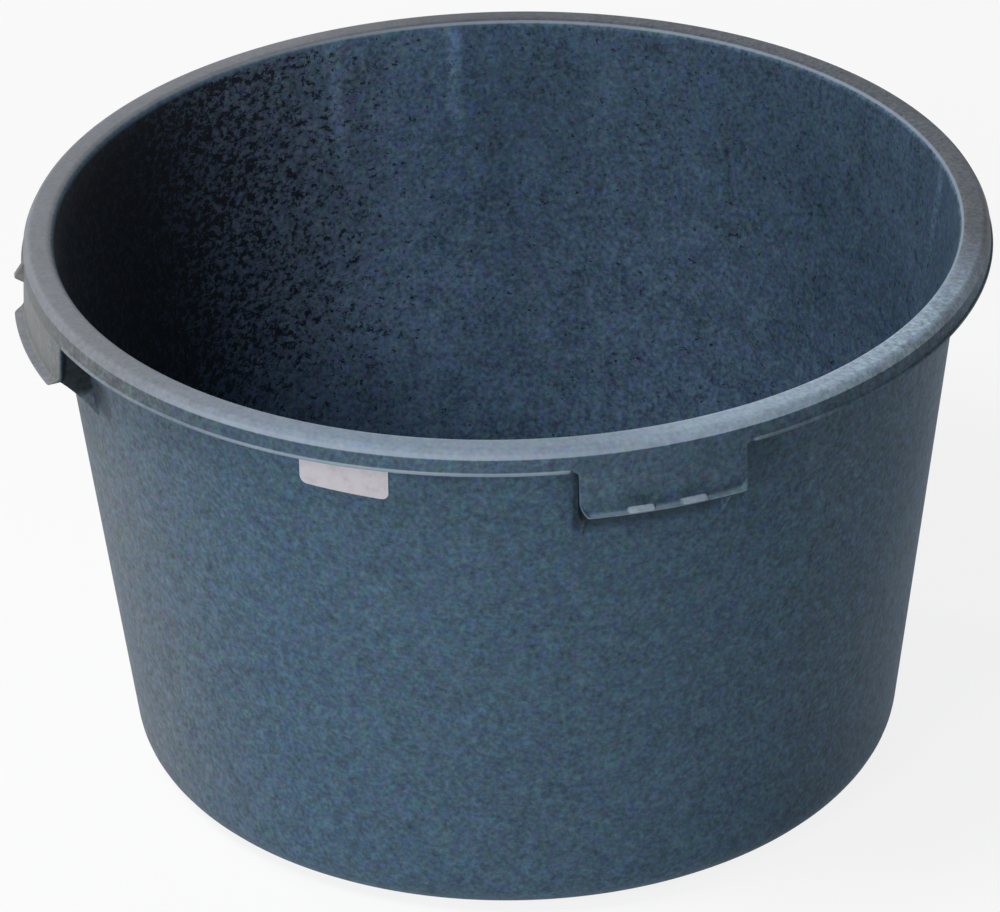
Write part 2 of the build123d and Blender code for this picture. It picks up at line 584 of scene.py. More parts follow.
@dataclass(frozen=True)
class MouldedPolyethylene(Finish):
    """Blue-grey polyethylene with the dull grain of a blasted mould and the scuffs of the building site.

    Turns are measured from the front towards the right, in radians. A field that ends in tone, sheen, calm, speckle,
    dark, pale, shade, shadow, highlight or wear is a strength.
    """

    shape: TubShape
    name: str = "moulded_polyethylene"
    outside: Colour = (0.0525, 0.099, 0.149)
    inside: Colour = (0.043, 0.078, 0.125)
    # inside_low: paler colour lower down inside the tub, painted light
    inside_low: Colour = (0.072, 0.122, 0.19)
    # colour of the inner wall at the left, painted shade
    inside_left_shade: Colour = (0.06, 0.075, 0.108)
    # rim top colours by side: pale at the front as painted light, a painted highlight at the front right, neutral at
    # the left as painted sheen, dark at the back as painted shade
    rim_front: Colour = (0.2, 0.258, 0.332)
    rim_painted_highlight: Colour = (0.295, 0.385, 0.48)
    rim_left: Colour = (0.172, 0.184, 0.205)
    rim_back: Colour = (0.086, 0.097, 0.115)
    # grey of the dust and of the painted sheen on the left side
    dust: Colour = (0.19, 0.186, 0.178)
    # pale colour of the painted highlights and of the rubbed patches
    highlight_and_scuff: Colour = (0.31, 0.37, 0.44)
    skirt_colour: Colour = (0.066, 0.096, 0.126)
    front_turn: float = math.radians(-32)
    # turn of the painted highlight on the rim top
    highlight_turn: float = math.radians(23)
    left_turn: float = math.radians(-117)
    right_turn: float = math.radians(88)
    back_left_turn: float = math.radians(-167)
    # place and size of the painted shadow on the wall beside the left grip
    shadow_turn: float = math.radians(-81.4)
    shadow_core: float = math.radians(1.6)
    shadow_reach: float = math.radians(4.6)
    shadow_height: float = 331.0 * MM
    grain_size: float = 3.2 * MM
    mottle_size: float = 8.0 * MM
    patch_size: float = 24.0 * MM
    cloud_size: float = 90.0 * MM
    speck_size: float = 6.0 * MM
    cast_size: float = 6.0 * MM
    fine_size: float = 0.9 * MM
    rub_size: float = 34.0 * MM
    # place across of the painted shade beside a gusset of the front and back grips
    gusset_side: float = -51.2 * MM
    relief: float = 0.25 * MM
    relief_strength: float = 0.35
    grain_relief: float = 0.6
    fine_relief: float = 0.4
    shine: float = 0.18
    rough: float = 0.5
    cloud_rough: float = 0.16
    grain_rough: float = 0.12
    # less rough where the painted highlights and the rubbed patches are
    pale_smooth: float = 0.1
    # left_tone: strength of the painted shade on the inner wall at the left
    left_tone: float = 0.7
    skirt_tone: float = 0.3
    # lip_tone: strength of the painted sheen on the lips at the left
    lip_tone: float = 0.8
    # strengths of the dust and painted sheen on the left side
    least_dust_sheen: float = 0.15
    cloud_dust_sheen: float = 0.35
    skirt_dust_sheen: float = 0.5
    cast_strength: float = 0.75
    crown_calm: float = 0.55
    left_calm: float = 0.3
    speckle_calm: float = 0.65
    right_speckle: float = 0.6
    grain_speckle: float = 1.75
    mottle_speckle: float = 0.8
    patch_speckle: float = 0.25
    inner_grain: float = 0.4
    inner_patch: float = 0.5
    speck_dark: float = 0.9
    # speck_spread, left_dark, right_dark: painted shade on the inner wall; back_left_pale: painted light on it
    speck_spread: float = 0.15
    left_dark: float = 0.7
    right_dark: float = 0.25
    back_left_pale: float = 0.6
    # strengths of the painted shade round the grips and of the painted shadow beside the left grip
    gap_shade: float = 0.8
    skirt_shade: float = 0.22
    lip_shade: float = 0.8
    pad_shade: float = 0.3
    left_shadow: float = 0.5
    # strengths of the painted shade behind the front and back grips and beside their gusset
    wall_shade: float = 0.5
    gusset_shade: float = 0.6
    # strengths of the painted highlights on the mouth edge, the crease and the bead
    mouth_highlight: float = 0.6
    edge_highlight: float = 0.35
    bead_highlight: float = 0.3
    patch_wear: float = 0.12
    sink_pale: float = 0.6
    sink_turns: tuple[float, ...] = (math.radians(169.3), math.radians(-174.0), math.radians(84.6))

    def paint(self, sheet: NodeSheet) -> None:
        """Adds the grain, mottling, dust, painted light, shade, sheen and highlights, scuffs and sink marks to a sheet.

        Args:
            sheet: Sheet of nodes of the material.
        """
        spot = TubMap(sheet, self.shape)
        grain = sheet.noise(spot.place, self.grain_size, 2.0, 0.6)
        cloud = sheet.noise(spot.place, self.cloud_size, 3.0)
        colour = self.speckled(spot, self.base_colour(spot, cloud), grain)
        colour = sheet.scaled(colour, self.shade(spot))
        colour = sheet.scaled(colour, 1 + self.sink_marks(spot, cloud) * spot.inner)
        # Share of the pale colour: painted highlights and rubbed patches.
        highlight_and_wear = self.wear_and_highlights(spot, grain, cloud)
        fine = sheet.noise(spot.place, self.fine_size)
        pits = self.grain_relief * grain + self.fine_relief * fine
        bump = {"Strength": self.relief_strength, "Distance": self.relief, "Height": pits}
        surface = {
            "Base Color": sheet.blend(highlight_and_wear, colour, self.highlight_and_scuff),
            "Roughness": self.rough + self.cloud_rough * cloud + self.grain_rough * grain - self.pale_smooth * highlight_and_wear,
            "Normal": sheet.node("ShaderNodeBump", sockets=bump, output="Normal"),
            "IOR": 1.5,
            "Specular IOR Level": self.shine,
        }
        sheet.finish(sheet.node("ShaderNodeBsdfPrincipled", sockets=surface))

    def base_colour(self, spot: TubMap, cloud: Signal) -> Signal:
        """Colour of the plastic under its grain, with dust and painted sheen on the left, painted shade inside at the
        left, painted light lower inside, and painted light, shade and highlight on the rim top.

        Args:
            spot: Where a spot lies on the tub.
            cloud: Broad clouds over the surface.

        Returns:
            The colour.
        """
        blend, height, top = spot.sheet.blend, spot.height, self.shape.height
        left = spot.facing(self.left_turn)
        # The inside is paler lower down: painted light.
        inside = blend(height.fade(top - 40 * MM, top - 220 * MM), self.inside, self.inside_low)
        # The inner wall at the left is darker and greyer: painted shade.
        inside = blend(self.left_tone * left.fade(0.2, 0.8) * spot.upper, inside, self.inside_left_shade)
        colour = blend(spot.inner, self.outside, inside)
        colour = blend(self.skirt_tone * spot.skirt, colour, self.skirt_colour)
        # Dust on the left side, with painted sheen of the light from the left.
        dust_and_sheen = self.least_dust_sheen + self.cloud_dust_sheen * cloud + self.skirt_dust_sheen * spot.skirt
        dust_and_sheen = left.fade(0.35, 0.95) * dust_and_sheen * height.fade(top - 3 * MM, top - 7 * MM) * (1 - spot.inner)
        colour = blend(dust_and_sheen, colour, self.dust)
        # Rim top: pale at the front as painted light, a painted highlight at the front right, neutral at the left as
        # painted sheen, darker at the back as painted shade.
        rim = blend(spot.facing(self.front_turn).fade(-0.17, 0.17), self.rim_back, self.rim_front)
        rim = blend(spot.facing(self.highlight_turn).fade(0.83, 0.99), rim, self.rim_painted_highlight)
        rim = blend(left.fade(0.1, 0.8), rim, self.rim_left)
        # The rim colour also goes on the top of the lips at the left, as painted sheen.
        return blend(spot.crown + spot.lip * left.fade(0.5, 0.9) * self.lip_tone, colour, rim)

    def speckled(self, spot: TubMap, colour: Signal, grain: Signal) -> Signal:
        """Adds the fine cast and the speckle of the mould, which are calmer on the rim and at the left of the skirt.

        Args:
            spot: Where a spot lies on the tub.
            colour: Colour under the speckle.
            grain: Fine grain of the surface.

        Returns:
            The speckled colour.
        """
        sheet, left = spot.sheet, spot.facing(self.left_turn)
        mottle, patch = (sheet.noise(spot.place, size) - 0.5 for size in (self.mottle_size, self.patch_size))
        grain = grain - 0.5
        calm = 1 - (1 - spot.crown) * (1 - left.fade(0.7, 0.92) * spot.skirt)
        cast = sheet.tint(sheet.noise(spot.place, self.cast_size, output="Color"), self.cast_strength)
        held = calm * (self.crown_calm + self.left_calm * left.fade(0.2, 0.8))
        colour = sheet.blend(1 - held, colour, cast, "MULTIPLY")
        right = spot.facing(self.right_turn).fade(0.1, 0.7) * (1 - spot.inner)
        outside = self.grain_speckle * grain + self.mottle_speckle * mottle + self.patch_speckle * patch
        outside = outside * (1 - self.speckle_calm * calm + self.right_speckle * right)
        inside = self.inner_patch * patch + self.inner_grain * grain
        return sheet.scaled(colour, 1 + outside + inside * spot.inner)

    def shade(self, spot: TubMap) -> Signal:
        """Share of the colour that is left under dark specks inside, painted shade and light on the inner wall, and the
        painted shade and shadow round the grips.

        Args:
            spot: Where a spot lies on the tub.

        Returns:
            The share.
        """
        left, upper = spot.facing(self.left_turn), spot.upper
        speck = spot.sheet.noise(spot.sheet.place((1.0, 1.0, 1.3)), self.speck_size, 5.0, 0.8)
        # Dark specks, thicker towards the left inside as painted shade.
        specks = (speck - self.speck_spread * left.fade(0.25, 1.0) * upper).fade(0.4, 0.36)
        # Under the specks, painted shade on the inner wall at the left.
        inside = (1 - self.speck_dark * specks) * (1 - self.left_dark * left.fade(0.75, 1.0) * upper)
        # Painted shade on the inner wall at the right.
        inside = inside * (1 - self.right_dark * spot.facing(self.right_turn).fade(0.55, 0.95) * upper)
        # Painted light on the inner wall at the back left.
        inside = inside * (1 + self.back_left_pale * spot.facing(self.back_left_turn).fade(0.86, 0.98) * upper)
        return 1 - (1 - inside) * spot.inner - self.painted_shade(spot) * (1 - spot.inner)

    def painted_shade(self, spot: TubMap) -> Signal:
        """Painted shade behind the aprons, on the skirt, under the lips and above the pads, and a painted shadow beside
        the left grip.

        Args:
            spot: Where a spot lies on the tub.

        Returns:
            The dark share.
        """
        size, height, proud = self.shape, spot.height, spot.proud
        low = size.grip_bottom
        below_rim = height.fade(size.skirt_bottom, size.skirt_bottom - 1 * MM)
        off_wall = (spot.radius - size.base_radius - size.taper * height).fade(0.6 * MM, 1.2 * MM)
        # Painted shade on the gussets behind the aprons.
        behind = off_wall * proud.fade(-1.2 * MM, -2 * MM) * below_rim * self.gap_shade
        behind = behind * height.fade(low - 14 * MM, low - 6 * MM)
        # Painted shade on the skirt, more at the left.
        band = spot.skirt * (1 - below_rim) * (1 - spot.crown)
        band = band * spot.facing(self.left_turn).fade(-0.1, 0.5) * self.skirt_shade
        # Painted shade on the lower edge of the lips.
        under = proud.fade(0.6 * MM, 1.2 * MM) * height.fade(low + 1.1 * MM, low + 0.8 * MM) * self.lip_shade
        # Painted shade on the apron above the pads.
        above = height.near(low + 8 * MM, 1.5 * MM, 5 * MM) * spot.skirt * spot.along_pads(3 * MM) * self.pad_shade
        # Painted shadow on the wall beside the left grip.
        near_left = spot.facing(self.shadow_turn).fade(math.cos(self.shadow_reach), math.cos(self.shadow_core))
        near_left = near_left * height.near(self.shadow_height, 8 * MM, 18 * MM) * (1 - off_wall) * self.left_shadow
        return behind + band + under + above + near_left + self.crevice_shade(spot) * (1 - spot.skirt)

    def crevice_shade(self, spot: TubMap) -> Signal:
        """Painted shade on the wall behind the front and back grips and beside the gusset at their left end.

        Args:
            spot: Where a spot lies on the tub.

        Returns:
            The dark share.
        """
        height, low = spot.height, self.shape.grip_bottom
        # Painted shade on the wall behind the front and back grips and beside a gusset.
        reach = height.fade(low + 34 * MM, low + 24 * MM) * abs(spot.deep).fade(200 * MM, 250 * MM)
        behind = abs(spot.across).fade(50 * MM, 40 * MM) * height.fade(low - 30 * MM, low - 21 * MM)
        beside = spot.across.near(self.gusset_side, 0.8 * MM, 4.2 * MM) * height.fade(low - 32 * MM, low - 20 * MM)
        return (behind * self.wall_shade + beside * self.gusset_shade) * reach

    def wear_and_highlights(self, spot: TubMap, grain: Signal, cloud: Signal) -> Signal:
        """Painted highlights along the edges of the rim, along the bead and on the lips and pads, and pale rubbing in
        patches.

        Args:
            spot: Where a spot lies on the tub.
            grain: Fine grain of the surface.
            cloud: Broad clouds over the surface.

        Returns:
            Share of the pale colour.
        """
        size, height, proud = self.shape, spot.height, spot.proud
        top, low = size.height, size.grip_bottom
        front, left = spot.facing(self.front_turn), spot.facing(self.left_turn)
        # Painted highlight on the rounded edge of the mouth, mostly at the right and back.
        mouth = spot.radius.near(size.mouth_radius + 1.4 * MM, 0.5 * MM, 1.2 * MM)
        mouth = mouth * height.fade(top - 6 * MM, top - 4.5 * MM)
        mouth = mouth * self.mouth_highlight * spot.facing(self.right_turn).fade(-0.7, 0.2) * (0.6 + 0.6 * cloud)
        # Painted highlight along the crease of the rim at the front.
        edge = height.near(size.crease + 1.2 * MM, 0.8 * MM, 2.2 * MM) * proud.fade(-2.5 * MM, -1.5 * MM)
        edge = edge * front.fade(0.83, 0.95) * self.edge_highlight
        # Painted highlight along the bead at the front.
        bead = proud.fade(0.2 * MM, 0.7 * MM) * height.near(size.skirt_bottom, 3 * MM, 4 * MM)
        bead = bead * self.bead_highlight * (front.fade(0.5, 0.75) + front.fade(0.88, 0.97)) * (0.6 + 0.8 * cloud)
        # Painted highlight on the top of the lips.
        lip = spot.lip * (1 - 0.8 * left.fade(0.3, 0.8)) * (0.05 + 0.4 * cloud)
        # Painted highlight on the pads.
        pads = proud.fade(0.6 * MM, 1.2 * MM) * spot.along_pads(2 * MM) * (0.4 + 0.5 * grain)
        pads = pads * height.fade(low + 1.2 * MM, low + 1.6 * MM) * height.fade(low + 5 * MM, low + 4 * MM)
        patches = spot.sheet.noise(spot.sheet.place((1.0, 1.0, 0.6)), self.rub_size, 4.0, 0.65)
        patches = patches.fade(0.62, 0.8) * grain.fade(0.4, 0.7) * self.patch_wear
        return mouth + edge + bead + lip + pads + patches

    def sink_marks(self, spot: TubMap, cloud: Signal) -> Signal:
        """Paler streaks on the inside of the wall, opposite the gussets of the grips.

        Args:
            spot: Where a spot lies on the tub.
            cloud: Broad clouds over the surface.

        Returns:
            How much paler the colour gets.
        """
        turn, top = spot.across.turn_from(-1 * spot.deep), self.shape.height
        aside = [(turn - sunk).wrapped(-math.pi, math.pi) for sunk in self.sink_turns]
        streaks = [off.near(0.0, 0.006, 0.026) for off in aside]
        streaks = sum(streaks[1:], streaks[0])
        return streaks * spot.height.fade(top - 120 * MM, top - 20 * MM) * cloud.fade(0.2, 0.5) * self.sink_pale


@dataclass(frozen=True)
class LabelFilm(Finish):
    """Off-white label film, dusty and slightly rubbed."""

    name: str = "label_film"
    film: Colour = (0.56, 0.54, 0.59)
    dust: Colour = (0.4, 0.38, 0.4)
    rubbed: Colour = (0.62, 0.6, 0.64)
    dust_size: float = 9.0 * MM
    dust_share: float = 0.6
    fibre_size: float = 1.4 * MM
    rubbed_share: float = 0.5
    relief: float = 0.1 * MM
    relief_strength: float = 0.15

    def paint(self, sheet: NodeSheet) -> None:
        """Adds the film, its dust and its rubbed patches to a sheet.

        Args:
            sheet: Sheet of nodes of the material.
        """
        dust = sheet.noise(sheet.place(), self.dust_size, 4.0, 0.6)
        fibre = sheet.noise(sheet.place((1.0, 1.0, 3.0)), self.fibre_size, 2.0)
        colour = sheet.blend(dust.fade(0.45, 0.75) * self.dust_share, self.film, self.dust)
        colour = sheet.blend(fibre.fade(0.5, 0.8) * self.rubbed_share, colour, self.rubbed)
        bump = {"Strength": self.relief_strength, "Distance": self.relief, "Height": fibre}
        relief = sheet.node("ShaderNodeBump", sockets=bump, output="Normal")
        surface = {"Base Color": colour, "Roughness": 0.45 + 0.2 * dust, "Normal": relief}
        sheet.finish(sheet.node("ShaderNodeBsdfPrincipled", sockets=surface))


@dataclass
class TubBody:
    """Floor, heel, wall and flange: everything that is round about the axis above the skirt."""

    shape: TubShape
    finish: Finish
    columns: int = 320
    mouth_rounding: float = 6.0 * MM
    crown_rounding: float = 4.5 * MM
    crease_rounding: float = 1.2 * MM
    inner_rounding: float = 2.0 * MM
    panel_rounding: float = 8.0 * MM
    gate_radius: float = 6.0 * MM
    gate_height: float = 0.8 * MM

    def corners(self) -> list[Corner]:
        """Draws the section, from the axis inside, over the rim, to the axis underneath.

        Returns:
            Its corners.
        """
        size = self.shape
        panel_edge = size.panel_radius + size.panel_slope
        hook_top = size.skirt_face(size.flange_under) - size.skirt
        gate = size.panel_rise - self.gate_height
        return [
            Corner(0.0, size.floor + size.panel_rise),
            Corner(size.panel_radius, size.floor + size.panel_rise, self.panel_rounding),
            Corner(panel_edge, size.floor, self.panel_rounding),
            Corner(size.wall_inner(size.floor), size.floor, size.heel_inner_rounding),
            Corner(size.mouth_radius, size.height, self.mouth_rounding),
            Corner(size.mouth_radius + size.crown_width, size.height, self.crown_rounding),
            Corner(size.skirt_radius, size.crease, self.crease_rounding),
            Corner(size.skirt_face(size.skirt_top), size.skirt_top),
            Corner(size.skirt_face(size.skirt_top) - size.skirt, size.skirt_top),
            Corner(hook_top, size.flange_under, self.inner_rounding),
            Corner(size.wall_outer(size.flange_under), size.flange_under, self.inner_rounding),
            Corner(size.base_radius, 0.0, size.heel_rounding),
            Corner(panel_edge, 0.0, self.panel_rounding),
            Corner(size.panel_radius, size.panel_rise, self.panel_rounding),
            Corner(self.gate_radius, size.panel_rise),
            Corner(self.gate_radius - self.gate_height, gate),
            Corner(0.0, gate),
        ]

    def build(self) -> bpy.types.Object:
        """Spins the section about the axis and dresses it.

        Returns:
            The new object.
        """
        points = section(self.corners())
        turns = spread(0.0, 2 * math.pi, self.columns)
        skin = Skin()
        skin.lay([[around(point.x, turn, point.y) for point in points] for turn in turns], ring=True)
        return skin.piece("tub_body", self.finish, ("floor", "heel", "wall", "rim_flange"))


@dataclass(frozen=True)
class HemPoint:
    """Point on the lower edge of the skirt."""

    along: float
    height: float
    inward: Vector
    reach: float
    depth: float
    top_along: float


@dataclass
class RimSkirt:
    """Turned-down skirt of the rim: its bead, and the aprons and lips of the four grips.

    The nose is the rounded tip of the bead or lip, the foot is the hollow where it leaves the face of the skirt, and
    the lead is the short flat above the foot.
    """

    shape: TubShape
    finish: Finish
    bead_reach: float = 1.4 * MM
    bead_depth: float = 2.2 * MM
    lug_depth: float = 9.0 * MM
    lug_drop: float = 11.0 * MM
    lug_height: float = 15.0 * MM
    lug_reach: float = 6.8 * MM
    lug_thickness: float = 6.0 * MM
    lug_nose: float = 1.5 * MM
    flare: float = 4.0 * MM
    corner: float = 8.0 * MM
    margin: float = 6.4 * MM
    edge_rounding: float = 0.8 * MM
    bead_fade: float = 3.0 * MM
    bead_end: float = 7.0 * MM
    nose_depth: float = 0.42
    nose_reach: float = 0.55
    foot_rounding: float = 1.0 * MM
    foot_reach: float = 0.4
    lead: float = 0.2 * MM
    lead_share: float = 1.6
    slack: float = 0.01 * MM
    bead_columns: int = 36
    turn_columns: int = 8
    side_columns: int = 6
    corner_columns: int = 12
    lip_columns: int = 16
    lip_start: int = 1
    lip_growth: int = 8
    rows: int = 6

    @property
    def half(self) -> float:
        """Half of the width of a grip."""
        return self.shape.grip_width / 2

    @property
    def mean_radius(self) -> float:
        """Radius at which lengths along the skirt are measured."""
        return self.shape.skirt_face(self.shape.skirt_bottom)

    @property
    def lip_reach(self) -> float:
        """How far the lip stands out from the apron."""
        return self.shape.lip_radius - self.shape.skirt_face(self.shape.grip_bottom)

    def half_hem(self, gap: float) -> list[tuple[float, float, Vector, float, float]]:
        """Walks the lower edge from half way between two grips to the middle of a grip.

        Args:
            gap: Turn from half way to the middle of the grip, in radians.

        Returns:
            Place along the rim, height, direction into the skirt, reach and depth of the edge at each point.
        """
        size, flare, corner = self.shape, self.flare, self.corner
        quarter_end = -self.mean_radius * gap
        bead_end = -self.half - flare
        low, high = size.grip_bottom, size.skirt_bottom
        up, right = Vector((0.0, 1.0)), Vector((1.0, 0.0))
        walk = []
        dense = bead_end - self.bead_end
        for along in spread(quarter_end, dense, self.bead_columns) + spread(dense, bead_end, self.turn_columns):
            left = ease((bead_end - along) / self.bead_fade)
            walk.append((along, high, up, self.bead_reach * left, self.bead_depth))
        for angle in spread(math.pi / 2, 0.0, self.turn_columns):
            out = Vector((math.cos(angle), math.sin(angle)))
            spot = Vector((bead_end, high - flare)) + out * flare
            walk.append((*spot, out, 0.0, self.bead_depth))
        for height in spread(high - flare, low + corner, self.side_columns):
            walk.append((-self.half, height, right, 0.0, size.lip_depth))
        for step, angle in enumerate(spread(math.pi, 1.5 * math.pi, self.corner_columns)):
            out = Vector((math.cos(angle), math.sin(angle)))
            spot = Vector((corner - self.half, low + corner)) + out * corner
            grown = ease((step - self.lip_start) / self.lip_growth)
            walk.append((*spot, -out, self.lip_reach * grown, size.lip_depth))
        for along in spread(corner - self.half, 0.0, self.lip_columns) + [0.0]:
            walk.append((along, low, up, self.lip_reach, size.lip_depth))
        return walk

    def placed_hem(self, gap: float) -> list[HemPoint]:
        """Half of a hem with the place of each of its points along the top of the skirt.

        Args:
            gap: Turn from half way to the middle of the grip, in radians.

        Returns:
            Points from half way between two grips to the middle of a grip.
        """
        half = self.half_hem(gap)
        start = -self.half - self.flare
        lengths, total = [], 0.0
        for before, after in zip([half[0]] + half, half):
            if after[0] > start + self.slack or after[1] < self.shape.skirt_bottom:
                total += math.hypot(after[0] - before[0], after[1] - before[1])
            lengths.append(total)
        points = []
        for (along, height, inward, reach, depth), length in zip(half, lengths):
            top = along if length == 0.0 else start * (1 - length / total)
            points.append(HemPoint(along, height, inward, reach, depth, top))
        return points

    def hem(self, before: float, after: float) -> list[HemPoint]:
        """Lower edge about one grip.

        Args:
            before: Turn from half way to the grip before it, in radians.
            after: Turn to half way to the grip after it, in radians.

        Returns:
            Points up to, but not at, half way to the next grip.
        """
        mirrored = [
            HemPoint(-p.along, p.height, Vector((-p.inward.x, p.inward.y)), p.reach, p.depth, -p.top_along)
            for p in reversed(self.placed_hem(after)[1:-1])
        ]
        return self.placed_hem(before) + mirrored

    def edge(self, reach: float, depth: float) -> list[tuple[float, float]]:
        """Section of the lower edge.

        Args:
            reach: How far the bead or lip stands out there.
            depth: Its thickness, measured into the skirt.

        Returns:
            Distance into the skirt and distance out from its face, from the outer face round to the inner.
        """
        nose = min(self.nose_depth * depth, self.nose_reach * reach)
        foot = min(self.foot_rounding, self.foot_reach * reach)
        tip = min(max(nose, self.edge_rounding), depth - nose)
        back = -self.shape.skirt
        inner = self.edge_rounding
        quarter = [math.radians(angle) for angle in (0, 22.5, 45, 67.5, 90)]
        points = [(depth + self.lead_share * foot + self.lead, 0.0)]
        points += [(depth + foot * (1 - math.sin(a)), foot * (1 - math.cos(a))) for a in quarter]
        points += [(depth - nose * (1 - math.cos(a)), reach - nose * (1 - math.sin(a))) for a in quarter]
        points += [(tip * (1 - math.sin(a)), reach - tip * (1 - math.cos(a))) for a in quarter]
        points += [(0.0, (reach - tip) * 0.5 + (back + inner) * 0.5)]
        points += [(inner * (1 - math.cos(a)), back + inner * (1 - math.sin(a))) for a in quarter]
        return points

    def put(self, middle: float, along: float, height: float, out: float) -> Vector:
        """Places a point on the skirt.

        Args:
            middle: Turn of the grip that it is measured from.
            along: Distance along the rim from the middle of the grip.
            height: Height above the ground.
            out: Distance out from the face of the skirt.

        Returns:
            The point in the frame of the solids.
        """
        return around(self.shape.skirt_face(height) + out, middle + along / self.mean_radius, height)

    def column(self, point: HemPoint, middle: float) -> list[Vector]:
        """One closed row of points, down the outer face, round the lower edge and up the inner face.

        Args:
            point: Point on the lower edge.
            middle: Turn of the grip that it is measured from.

        Returns:
            The points.
        """
        size = self.shape
        foot = Vector((point.along, point.height))
        root = foot + point.inward * self.margin
        top = Vector((point.top_along, size.skirt_top))
        down = [top.lerp(root, step / self.rows) for step in range(self.rows + 1)]
        outer = [self.put(middle, *spot, 0.0) for spot in down]
        rounding = [
            self.put(middle, *(foot + point.inward * into), out) for into, out in self.edge(point.reach, point.depth)
        ]
        inner = [self.put(middle, *spot, -size.skirt) for spot in reversed(down)]
        return outer + rounding + inner

    def lay_lug(self, skin: Skin) -> None:
        """Lays the small wedge on the skirt at the back end of the left grip.

        Args:
            skin: Skin that it is added to.
        """
        size = self.shape
        top = size.height - self.lug_depth
        tip, low = top - self.lug_drop, top - self.lug_height
        root = size.skirt_face(tip) - size.skirt / 2
        corners = [
            Corner(root, top),
            Corner(size.skirt_face(top), top),
            Corner(size.skirt_face(tip) + self.lug_reach, tip, self.lug_nose),
            Corner(size.skirt_face(low), low),
            Corner(root, low),
        ]
        points = section(corners, run=4 * MM)
        half, rounding = self.lug_thickness / 2, self.edge_rounding
        turn = Side.LEFT.turn - math.asin((self.half - half) / size.skirt_face(tip))
        sideways = Vector((math.cos(turn), math.sin(turn), 0.0))
        ends = [(half, 0.1), (half - 0.3 * rounding, 0.03), (half - rounding, 0.0)]
        rows = []
        for off, shrink in [(-off, shrink) for off, shrink in ends] + ends[::-1]:
            shrunk = [point.lerp(Vector((root, tip)), shrink) for point in points]
            rows.append([around(point.x, turn, point.y) + sideways * off for point in shrunk])
        skin.lay(rows, tube=True, ends=True)

    def build(self) -> bpy.types.Object:
        """Lays the skirt all round the rim and dresses it.

        Returns:
            The new object.
        """
        sides = list(Side)
        rows = []
        for before, side, after in zip(sides[-1:] + sides, sides, sides[1:] + sides[:1]):
            hem = self.hem(side.turn_from(before) / 2, after.turn_from(side) / 2)
            rows += [self.column(point, side.turn) for point in hem]
        skin = Skin()
        skin.lay(rows, ring=True, tube=True)
        self.lay_lug(skin)
        return skin.piece("rim_skirt", self.finish, ("rim_skirt",))


